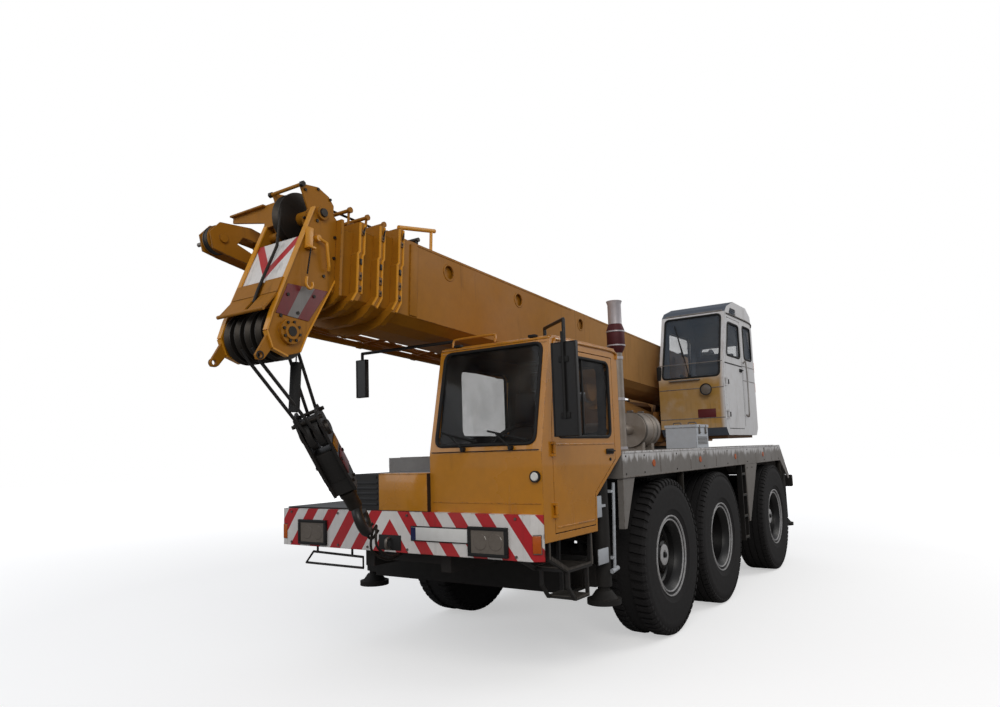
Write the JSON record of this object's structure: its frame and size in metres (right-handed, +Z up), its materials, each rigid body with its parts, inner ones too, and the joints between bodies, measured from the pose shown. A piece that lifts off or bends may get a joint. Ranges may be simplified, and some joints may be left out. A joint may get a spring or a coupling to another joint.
{
  "type": "mobile crane",
  "caption": "Three-axle mobile crane with a single driver's cab, stowed telescopic boom over the front, slewing operator's cab, folding jib and four outriggers.",
  "frame": {"origin": "on the ground below the middle of the whole crane's box", "axes": "+X to the crane's left, +Y to its rear, +Z up"},
  "size_m": [2.77, 8.4614, 3.4149],
  "materials": {
    "cast": "oiled iron",
    "rubber": "worn rubber",
    "silver_paint": "silver enamel",
    "frame_paint": "dull enamel",
    "yellow_paint": "semi-gloss enamel, aged",
    "steel": "worn steel",
    "cream_paint": "semi-gloss enamel, aged",
    "bumper_paint": "red and white diagonals",
    "glass": "tinted glass",
    "interior": "matte",
    "grey_paint": "satin grey",
    "lamp": "lens",
    "black_paint": "satin black",
    "chrome": "polished"
  },
  "bodies": {
    "carrier": {"axles": "cast", "chassis_frame": "frame_paint", "outrigger_boxes": "yellow_paint", "deck": "cream_paint", "front_bumper": "bumper_paint", "front_body": "yellow_paint", "driver_cab": "yellow_paint", "cab_glass": "glass", "cab_interior": "interior", "engine_block": "cast", "exhaust": "steel", "deck_boxes": "grey_paint", "steps_ladders": "yellow_paint", "lamps": "lamp", "mirrors": "black_paint"},
    "wheel_1_left": {"tyre_1_left": "rubber", "rim_1_left": "silver_paint"},
    "steer_1_left": {"knuckle_1_left": "cast"},
    "wheel_1_right": {"tyre_1_right": "rubber", "rim_1_right": "silver_paint"},
    "steer_1_right": {"knuckle_1_right": "cast"},
    "wheel_2_left": {"tyre_2_left": "rubber", "rim_2_left": "silver_paint"},
    "steer_2_left": {"knuckle_2_left": "cast"},
    "wheel_2_right": {"tyre_2_right": "rubber", "rim_2_right": "silver_paint"},
    "steer_2_right": {"knuckle_2_right": "cast"},
    "wheel_3_left": {"tyre_3_left": "rubber", "rim_3_left": "silver_paint"},
    "wheel_3_right": {"tyre_3_right": "rubber", "rim_3_right": "silver_paint"},
    "driver_door_leaf": {"driver_door": "yellow_paint", "driver_door_glass": "glass"},
    "outrigger_front_left": {"outrigger_beam_front_left": "yellow_paint"},
    "stabiliser_front_left": {"jack_front_left": "steel"},
    "outrigger_front_right": {"outrigger_beam_front_right": "yellow_paint"},
    "stabiliser_front_right": {"jack_front_right": "steel"},
    "outrigger_rear_left": {"outrigger_beam_rear_left": "yellow_paint"},
    "stabiliser_rear_left": {"jack_rear_left": "steel"},
    "outrigger_rear_right": {"outrigger_beam_rear_right": "yellow_paint"},
    "stabiliser_rear_right": {"jack_rear_right": "steel"},
    "superstructure": {"turntable": "yellow_paint", "counterweight": "yellow_paint", "winch": "steel", "hydraulic_box": "yellow_paint", "operator_cab": "yellow_paint", "operator_glass": "glass", "operator_seat": "interior"},
    "operator_door_leaf": {"operator_door": "yellow_paint", "operator_door_glass": "glass"},
    "boom": {"boom_base": "yellow_paint", "folding_jib": "yellow_paint"},
    "section_2": {"boom_section_2": "yellow_paint"},
    "section_3": {"boom_section_3": "yellow_paint"},
    "section_4": {"boom_section_4": "yellow_paint", "boom_head": "yellow_paint", "head_sheaves": "cast"},
    "hook": {"hook_block": "black_paint"},
    "cylinder_barrel": {"luff_barrel": "yellow_paint"},
    "cylinder_rod": {"luff_rod": "chrome"}
  },
  "joints": [
    {"name": "steering_1_left", "type": "hinge", "parent": "carrier", "child": "steer_1_left", "pos_m": [0.665, -0.60333, 0.68], "axis": [0, 0, 1], "range_deg": [-25, 25]},
    {"name": "wheel_1_left_spin", "type": "hinge", "parent": "steer_1_left", "child": "wheel_1_left", "pos_m": [0.9275, -0.60333, 0.68], "axis": [1, 0, 0], "continuous": true},
    {"name": "steering_1_right", "type": "hinge", "parent": "carrier", "child": "steer_1_right", "pos_m": [-0.935, -0.60333, 0.68], "axis": [0, 0, 1], "range_deg": [-25, 25]},
    {"name": "wheel_1_right_spin", "type": "hinge", "parent": "steer_1_right", "child": "wheel_1_right", "pos_m": [-1.1975, -0.60333, 0.68], "axis": [1, 0, 0], "continuous": true},
    {"name": "steering_2_left", "type": "hinge", "parent": "carrier", "child": "steer_2_left", "pos_m": [0.665, 0.84667, 0.68], "axis": [0, 0, 1], "range_deg": [-16, 16]},
    {"name": "wheel_2_left_spin", "type": "hinge", "parent": "steer_2_left", "child": "wheel_2_left", "pos_m": [0.9275, 0.84667, 0.68], "axis": [1, 0, 0], "continuous": true},
    {"name": "steering_2_right", "type": "hinge", "parent": "carrier", "child": "steer_2_right", "pos_m": [-0.935, 0.84667, 0.68], "axis": [0, 0, 1], "range_deg": [-16, 16]},
    {"name": "wheel_2_right_spin", "type": "hinge", "parent": "steer_2_right", "child": "wheel_2_right", "pos_m": [-1.1975, 0.84667, 0.68], "axis": [1, 0, 0], "continuous": true},
    {"name": "wheel_3_left_spin", "type": "hinge", "parent": "carrier", "child": "wheel_3_left", "pos_m": [0.9275, 3.13667, 0.68], "axis": [1, 0, 0], "continuous": true},
    {"name": "wheel_3_right_spin", "type": "hinge", "parent": "carrier", "child": "wheel_3_right", "pos_m": [-1.1975, 3.13667, 0.68], "axis": [1, 0, 0], "continuous": true},
    {"name": "driver_door_hinge", "type": "hinge", "parent": "carrier", "child": "driver_door_leaf", "pos_m": [1.131, -2.66633, 1.7], "axis": [0, 0, -1], "range_deg": [0, 70]},
    {"name": "outrigger_front_left_slide", "type": "slide", "parent": "carrier", "child": "outrigger_front_left", "axis": [1, 0, 0], "range_m": [0, 1.5]},
    {"name": "stabiliser_front_left_slide", "type": "slide", "parent": "outrigger_front_left", "child": "stabiliser_front_left", "axis": [0, 0, -1], "range_m": [0, 0.465]},
    {"name": "outrigger_front_right_slide", "type": "slide", "parent": "carrier", "child": "outrigger_front_right", "axis": [-1, 0, 0], "range_m": [0, 1.5]},
    {"name": "stabiliser_front_right_slide", "type": "slide", "parent": "outrigger_front_right", "child": "stabiliser_front_right", "axis": [0, 0, -1], "range_m": [0, 0.465]},
    {"name": "outrigger_rear_left_slide", "type": "slide", "parent": "carrier", "child": "outrigger_rear_left", "axis": [1, 0, 0], "range_m": [0, 1.5]},
    {"name": "stabiliser_rear_left_slide", "type": "slide", "parent": "outrigger_rear_left", "child": "stabiliser_rear_left", "axis": [0, 0, -1], "range_m": [0, 0.465]},
    {"name": "outrigger_rear_right_slide", "type": "slide", "parent": "carrier", "child": "outrigger_rear_right", "axis": [-1, 0, 0], "range_m": [0, 1.5]},
    {"name": "stabiliser_rear_right_slide", "type": "slide", "parent": "outrigger_rear_right", "child": "stabiliser_rear_right", "axis": [0, 0, -1], "range_m": [0, 0.465]},
    {"name": "slewing", "type": "hinge", "parent": "carrier", "child": "superstructure", "pos_m": [-0.135, 2.09667, 1.65], "axis": [0, 0, 1], "continuous": true},
    {"name": "operator_door_hinge", "type": "hinge", "parent": "superstructure", "child": "operator_door_leaf", "pos_m": [1.081, 1.43367, 2.5], "axis": [0, 0, -1], "range_deg": [0, 80]},
    {"name": "boom_luff", "type": "hinge", "parent": "superstructure", "child": "boom", "pos_m": [-0.135, 3.49667, 2.5], "axis": [-1, 0, 0], "range_deg": [0, 68]},
    {"name": "telescope_2", "type": "slide", "parent": "boom", "child": "section_2", "axis": [0, -0.9984, 0.0569], "range_m": [0, 5]},
    {"name": "telescope_3", "type": "slide", "parent": "section_2", "child": "section_3", "axis": [0, -0.9984, 0.0569], "range_m": [0, 5]},
    {"name": "telescope_4", "type": "slide", "parent": "section_3", "child": "section_4", "axis": [0, -0.9984, 0.0569], "range_m": [0, 5]},
    {"name": "hook_swing", "type": "hinge", "parent": "section_4", "child": "hook", "pos_m": [-0.135, -3.9942, 2.39882], "axis": [1, 0, 0], "range_deg": [0, 34.3]},
    {"name": "cylinder_tilt", "type": "hinge", "parent": "superstructure", "child": "cylinder_barrel", "pos_m": [-0.135, 2.14667, 1.95], "axis": [-1, 0, 0], "range_deg": [0, 79.53]},
    {"name": "cylinder_slide", "type": "slide", "parent": "cylinder_barrel", "child": "cylinder_rod", "axis": [0, -0.9887, 0.1498], "range_m": [0, 1.5488]}
  ],
  "couplings": [
    {"joint": "steering_1_right", "follows": "steering_1_left", "ratio": 1},
    {"joint": "steering_2_left", "follows": "steering_1_left", "ratio": 0.64},
    {"joint": "steering_2_right", "follows": "steering_1_left", "ratio": 0.64},
    {"joint": "telescope_3", "follows": "telescope_2", "ratio": 1},
    {"joint": "telescope_4", "follows": "telescope_2", "ratio": 1},
    {"joint": "hook_swing", "follows": "boom_luff", "ratio": 0.49706},
    {"joint": "cylinder_tilt", "follows": "boom_luff", "ratio": 1.1666},
    {"joint": "cylinder_slide", "follows": "boom_luff", "m_per_rad": 1.3008}
  ]
}
